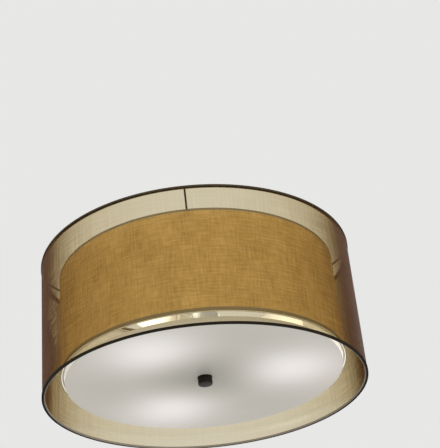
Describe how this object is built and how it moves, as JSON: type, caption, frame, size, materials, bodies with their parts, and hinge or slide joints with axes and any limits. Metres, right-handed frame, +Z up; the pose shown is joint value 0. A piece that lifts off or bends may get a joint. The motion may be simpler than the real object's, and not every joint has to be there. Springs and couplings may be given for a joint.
{
  "type": "ceiling light",
  "caption": "Round semi-flush ceiling light: a sheer bronze drum shade round a linen drum shade, with bulbs above a frosted diffuser held up by a finial.",
  "frame": {"origin": "middle of the mounting, on the ceiling plane", "axes": "+Z up into the ceiling, along the light's axis of symmetry; the light hangs into -Z; -Y faces the picture's camera"},
  "size_m": [0.508, 0.508, 0.29],
  "materials": {
    "bronze": "dark oil-rubbed bronze, satin",
    "bronze_trim": "dark bronze woven tape",
    "steel": "zinc plated",
    "brass": "plain",
    "copper": "bare copper",
    "green_screw": "green passivated",
    "sheer": "bronze organza on clear film, glossy inside",
    "linen": "golden slubby linen weave, matte",
    "liner": "white shade backing",
    "white_wire_ring": "white powder coat",
    "diffuser": "frosted acrylic, lit from behind",
    "porcelain": "white glazed porcelain",
    "bulb_cap": "plain",
    "bulb_glass": "frosted white",
    "black_wire": "insulated lead",
    "white_wire": "insulated lead",
    "wire_nut": "orange moulded"
  },
  "bodies": {
    "fixture": {"ceiling_bracket": "steel", "ground_screw": "green_screw", "ground_wire": "copper", "canopy_stud_left": "steel", "canopy_stud_right": "steel", "stud_lock_nut_left": "steel", "stud_lock_nut_right": "steel", "canopy_cap_nut_left": "bronze", "canopy_cap_nut_right": "bronze", "canopy": "bronze", "stem_pipe": "steel", "canopy_pipe_nut": "steel", "upper_stem_cover": "bronze", "lower_stem_cover": "bronze", "spider_hub": "bronze", "spider_nut": "steel", "spider_arm_1": "bronze", "spider_arm_2": "bronze", "spider_arm_3": "bronze", "spider_arm_4": "bronze", "outer_sheer_shade": "sheer", "outer_top_ring": "bronze", "outer_bottom_ring": "bronze", "outer_top_trim": "bronze_trim", "outer_bottom_trim": "bronze_trim", "inner_linen_shade": "linen", "inner_shade_liner": "liner", "inner_top_ring": "white_wire_ring", "inner_bottom_ring": "white_wire_ring", "cluster_body": "steel", "cluster_pipe_nut": "steel", "cluster_cover": "steel", "socket_nipple_1": "steel", "socket_nipple_2": "steel", "socket_nipple_3": "steel", "socket_housing_1": "porcelain", "socket_housing_2": "porcelain", "socket_housing_3": "porcelain", "socket_shell_1": "brass", "socket_shell_2": "brass", "socket_shell_3": "brass", "live_harness": "black_wire", "neutral_harness": "white_wire", "live_wire_nut": "wire_nut", "neutral_wire_nut": "wire_nut", "diffuser_rod": "steel", "rod_nut": "steel", "seat_nut": "steel", "seat_washer": "steel"},
    "diffuser_plate": {"diffuser": "diffuser", "finial_washer": "bronze"},
    "finial_knob": {"finial": "bronze"},
    "bulb_1": {"bulb_base_1": "bulb_cap", "bulb_glass_1": "bulb_glass"},
    "bulb_2": {"bulb_base_2": "bulb_cap", "bulb_glass_2": "bulb_glass"},
    "bulb_3": {"bulb_base_3": "bulb_cap", "bulb_glass_3": "bulb_glass"}
  },
  "joints": [
    {"name": "diffuser_drop", "type": "slide", "parent": "fixture", "child": "diffuser_plate", "axis": [0, 0, -1], "range_m": [0, 0.15]},
    {"name": "finial_turn", "type": "hinge", "parent": "diffuser_plate", "child": "finial_knob", "pos_m": [0, 0, -0.2688], "axis": [0, 0, -1], "range_deg": [0, 3240]},
    {"name": "bulb_turn_1", "type": "hinge", "parent": "fixture", "child": "bulb_1", "pos_m": [0.09976, -0.00698, -0.1885], "axis": [0.9976, -0.0698, 0], "range_deg": [0, 990]},
    {"name": "bulb_turn_2", "type": "hinge", "parent": "fixture", "child": "bulb_2", "pos_m": [-0.04384, 0.08988, -0.1885], "axis": [-0.4384, 0.8988, 0], "range_deg": [0, 990]},
    {"name": "bulb_turn_3", "type": "hinge", "parent": "fixture", "child": "bulb_3", "pos_m": [-0.05592, -0.0829, -0.1885], "axis": [-0.5592, -0.829, 0], "range_deg": [0, 990]}
  ]
}
